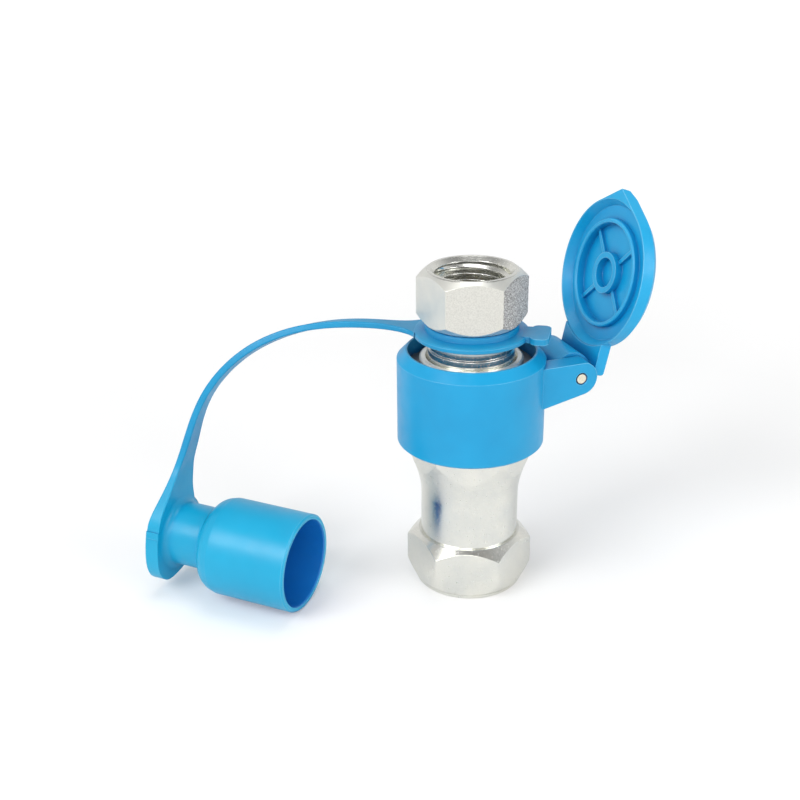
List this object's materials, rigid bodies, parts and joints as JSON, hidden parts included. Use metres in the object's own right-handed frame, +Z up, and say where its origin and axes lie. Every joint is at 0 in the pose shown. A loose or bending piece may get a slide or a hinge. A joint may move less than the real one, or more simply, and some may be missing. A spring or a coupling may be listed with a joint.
{
  "type": "hydraulic quick coupler",
  "caption": "Joined hydraulic quick coupler: valved socket and plug halves with hexagon ports, blue dust cover with hinged lid, and a tethered dust plug.",
  "frame": {"origin": "on the coupler's axis, at the bottom face of the female port's hexagon, where the coupler stands", "axes": "+Z up along the coupler's axis, -Y towards the viewer of the picture, -X towards the dust plug"},
  "size_m": [0.1455, 0.0665, 0.1145],
  "materials": {
    "zinc_steel": "pale zinc plating over turned and milled steel",
    "hard_steel": "plain hardened steel, satin",
    "ball_steel": "polished bearing steel",
    "spring_steel": "spring steel, dull",
    "valve_brass": "turned brass",
    "seal_rubber": "black nitrile rubber",
    "backup_plastic": "white slippery plastic",
    "blue_plastic": "soft moulded plastic, satin sheen"
  },
  "bodies": {
    "female_half": {"female_adapter": "zinc_steel", "body_oring": "seal_rubber", "socket_body": "zinc_steel", "socket_oring": "seal_rubber", "backup_ring": "backup_plastic", "sleeve_stop_ring": "spring_steel", "spring_washer": "spring_steel", "sleeve_spring": "spring_steel", "female_valve_guide": "valve_brass", "female_guide_clip": "spring_steel", "female_valve_spring": "spring_steel"},
    "sleeve": {"locking_sleeve": "hard_steel", "dust_cover": "blue_plastic", "hinge_pin": "hard_steel"},
    "lid": {"cover_lid": "blue_plastic"},
    "female_valve": {"female_poppet": "valve_brass", "female_valve_seal": "seal_rubber"},
    "male_half": {"male_body": "zinc_steel", "male_valve_guide": "valve_brass", "male_guide_clip": "spring_steel", "male_valve_spring": "spring_steel"},
    "male_valve": {"male_poppet": "valve_brass", "male_valve_seal": "seal_rubber"},
    "plug": {"dust_plug": "blue_plastic"},
    "ball_body_1": {"ball_1": "ball_steel"},
    "ball_body_2": {"ball_2": "ball_steel"},
    "ball_body_3": {"ball_3": "ball_steel"},
    "ball_body_4": {"ball_4": "ball_steel"},
    "ball_body_5": {"ball_5": "ball_steel"},
    "ball_body_6": {"ball_6": "ball_steel"},
    "ball_body_7": {"ball_7": "ball_steel"},
    "ball_body_8": {"ball_8": "ball_steel"}
  },
  "joints": [
    {"name": "sleeve_release", "type": "slide", "parent": "female_half", "child": "sleeve", "axis": [0, 0, -1], "range_m": [0, 0.005], "stiffness_N_per_m": 4000, "springref_m": -0.004, "deforming": ["sleeve_spring"]},
    {"name": "lid_hinge", "type": "hinge", "parent": "sleeve", "child": "lid", "pos_m": [0.02628, 0.00971, 0.06474], "axis": [-0.3464, 0.9381, 0], "range_deg": [-38, 12]},
    {"name": "valve_float", "type": "slide", "parent": "female_half", "child": "female_valve", "axis": [0, 0, 1], "range_m": [-0.0035, 0.0035], "stiffness_N_per_m": 3000, "deforming": ["female_valve_spring"]},
    {"name": "male_swivel", "type": "hinge", "parent": "female_half", "child": "male_half", "pos_m": [0, 0, 0.061], "axis": [0, 0, 1], "continuous": true},
    {"name": "male_valve_float", "type": "slide", "parent": "male_half", "child": "male_valve", "axis": [0, 0, 1], "range_m": [-0.0035, 0.0035], "deforming": ["male_valve_spring"]},
    {"name": "plug_swivel", "type": "hinge", "parent": "female_half", "child": "plug", "pos_m": [0, 0, 0.078], "axis": [0, 0, 1], "range_deg": [-85, 85]},
    {"name": "ball_1_press", "type": "slide", "parent": "female_half", "child": "ball_body_1", "axis": [0.9239, 0.3827, 0], "range_m": [0, 0.00167]},
    {"name": "ball_2_press", "type": "slide", "parent": "female_half", "child": "ball_body_2", "axis": [0.3827, 0.9239, 0], "range_m": [0, 0.00167]},
    {"name": "ball_3_press", "type": "slide", "parent": "female_half", "child": "ball_body_3", "axis": [-0.3827, 0.9239, 0], "range_m": [0, 0.00167]},
    {"name": "ball_4_press", "type": "slide", "parent": "female_half", "child": "ball_body_4", "axis": [-0.9239, 0.3827, 0], "range_m": [0, 0.00167]},
    {"name": "ball_5_press", "type": "slide", "parent": "female_half", "child": "ball_body_5", "axis": [-0.9239, -0.3827, 0], "range_m": [0, 0.00167]},
    {"name": "ball_6_press", "type": "slide", "parent": "female_half", "child": "ball_body_6", "axis": [-0.3827, -0.9239, 0], "range_m": [0, 0.00167]},
    {"name": "ball_7_press", "type": "slide", "parent": "female_half", "child": "ball_body_7", "axis": [0.3827, -0.9239, 0], "range_m": [0, 0.00167]},
    {"name": "ball_8_press", "type": "slide", "parent": "female_half", "child": "ball_body_8", "axis": [0.9239, -0.3827, 0], "range_m": [0, 0.00167]}
  ],
  "couplings": [
    {"joint": "male_valve_float", "follows": "valve_float", "ratio": 1},
    {"joint": "ball_1_press", "follows": "sleeve_release", "ratio": 0.332},
    {"joint": "ball_2_press", "follows": "sleeve_release", "ratio": 0.332},
    {"joint": "ball_3_press", "follows": "sleeve_release", "ratio": 0.332},
    {"joint": "ball_4_press", "follows": "sleeve_release", "ratio": 0.332},
    {"joint": "ball_5_press", "follows": "sleeve_release", "ratio": 0.332},
    {"joint": "ball_6_press", "follows": "sleeve_release", "ratio": 0.332},
    {"joint": "ball_7_press", "follows": "sleeve_release", "ratio": 0.332},
    {"joint": "ball_8_press", "follows": "sleeve_release", "ratio": 0.332}
  ]
}
